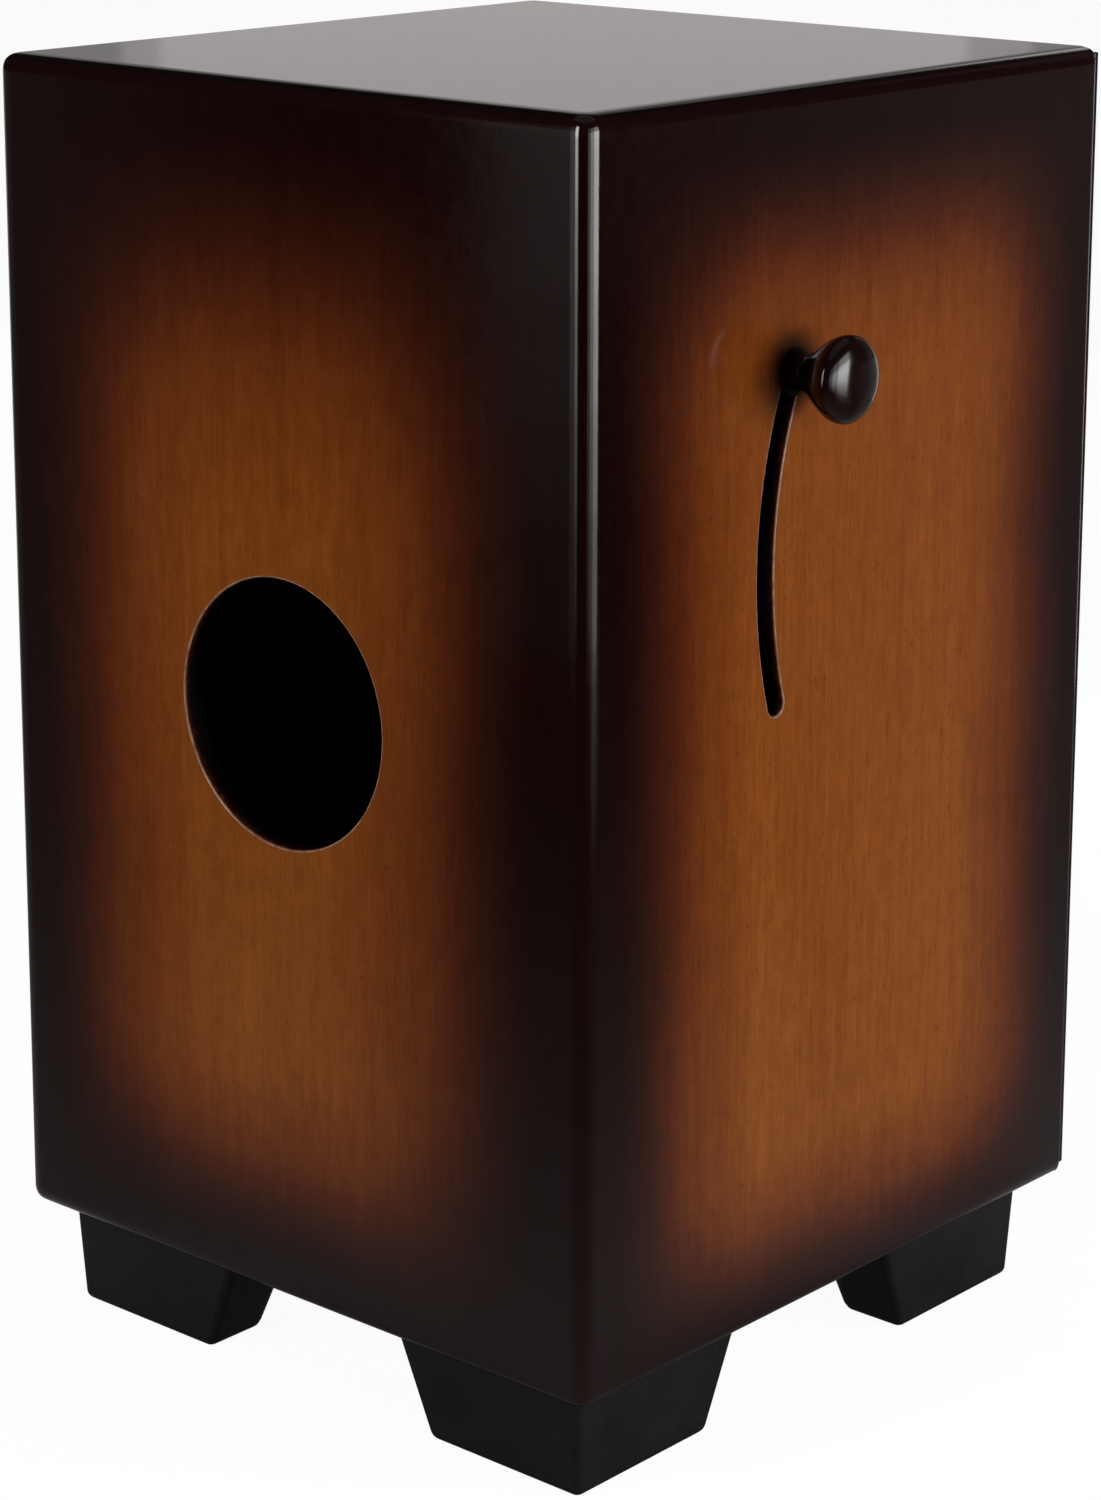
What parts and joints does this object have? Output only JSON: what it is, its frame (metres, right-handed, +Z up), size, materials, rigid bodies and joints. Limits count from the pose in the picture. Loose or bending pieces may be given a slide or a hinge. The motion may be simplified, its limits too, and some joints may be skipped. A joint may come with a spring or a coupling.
{
  "type": "cajon",
  "caption": "Box drum to sit on: thin front playing plate, round rear sound hole, corner feet, and a side lever knob in a curved slot that swings the inner snare wires onto the plate.",
  "frame": {"origin": "on the floor, under the middle of the whole object's bounding box", "axes": "+Z up, -Y out of the playing plate, +Y out of the sound hole, -X out of the side with the lever knob"},
  "size_m": [0.3192, 0.2962, 0.4953],
  "materials": {
    "sunburst_lacquer": "satin-gloss lacquer, amber middle fading to near-black brown edges",
    "tapa_lacquer": "satin-gloss lacquer, amber middle fading to near-black brown edges",
    "knob_lacquer": "gloss near-black brown lacquer",
    "raw_wood": "bare sanded wood",
    "foot_rubber": "matte moulded rubber",
    "zinc_steel": "zinc plated",
    "snare_steel": "bright drawn wire",
    "black_steel": "black oxide",
    "nylon": "moulded nylon"
  },
  "bodies": {
    "cabinet": {"top_panel": "sunburst_lacquer", "bottom_panel": "sunburst_lacquer", "lever_side_panel": "sunburst_lacquer", "plain_side_panel": "sunburst_lacquer", "rear_panel": "sunburst_lacquer", "tapa": "tapa_lacquer", "foot_front_lever_side": "foot_rubber", "foot_rear_lever_side": "foot_rubber", "foot_front_plain_side": "foot_rubber", "foot_rear_plain_side": "foot_rubber", "foot_washer_front_lever_side": "zinc_steel", "foot_washer_rear_lever_side": "zinc_steel", "foot_washer_front_plain_side": "zinc_steel", "foot_washer_rear_plain_side": "zinc_steel", "foot_screw_front_lever_side": "zinc_steel", "foot_screw_rear_lever_side": "zinc_steel", "foot_screw_front_plain_side": "zinc_steel", "foot_screw_rear_plain_side": "zinc_steel", "tapa_screw_01": "black_steel", "tapa_screw_02": "black_steel", "tapa_screw_03": "black_steel", "tapa_screw_04": "black_steel", "tapa_screw_05": "black_steel", "tapa_screw_06": "black_steel", "tapa_screw_07": "black_steel", "tapa_screw_08": "black_steel", "tapa_screw_09": "black_steel", "tapa_screw_10": "black_steel", "tapa_screw_11": "black_steel", "tapa_screw_12": "black_steel", "tapa_screw_13": "black_steel", "tapa_screw_14": "black_steel", "pivot_block_lever_side": "raw_wood", "pivot_block_plain_side": "raw_wood", "pivot_block_screw_lever_side_lower": "zinc_steel", "pivot_block_screw_lever_side_upper": "zinc_steel", "pivot_block_screw_plain_side_lower": "zinc_steel", "pivot_block_screw_plain_side_upper": "zinc_steel"},
    "snare_lever": {"lever_arm": "raw_wood", "lever_arm_screw_front": "zinc_steel", "lever_arm_screw_rear": "zinc_steel", "snare_beam": "raw_wood", "pivot_pin_lever_side": "zinc_steel", "pivot_pin_plain_side": "zinc_steel", "snare_wires_lever_side": "snare_steel", "snare_wires_plain_side": "snare_steel", "snare_screw_lever_side_outer": "black_steel", "snare_screw_lever_side_inner": "black_steel", "snare_screw_plain_side_outer": "black_steel", "snare_screw_plain_side_inner": "black_steel", "knob_bolt": "zinc_steel", "bolt_spacer": "zinc_steel", "guide_washer": "nylon", "knob_washer": "nylon", "knob": "knob_lacquer"}
  },
  "joints": [
    {"name": "snare_lever_hinge", "type": "hinge", "parent": "cabinet", "child": "snare_lever", "pos_m": [0.0146, -0.12015, 0.3263], "axis": [1, 0, 0], "range_deg": [-40, 0]}
  ]
}
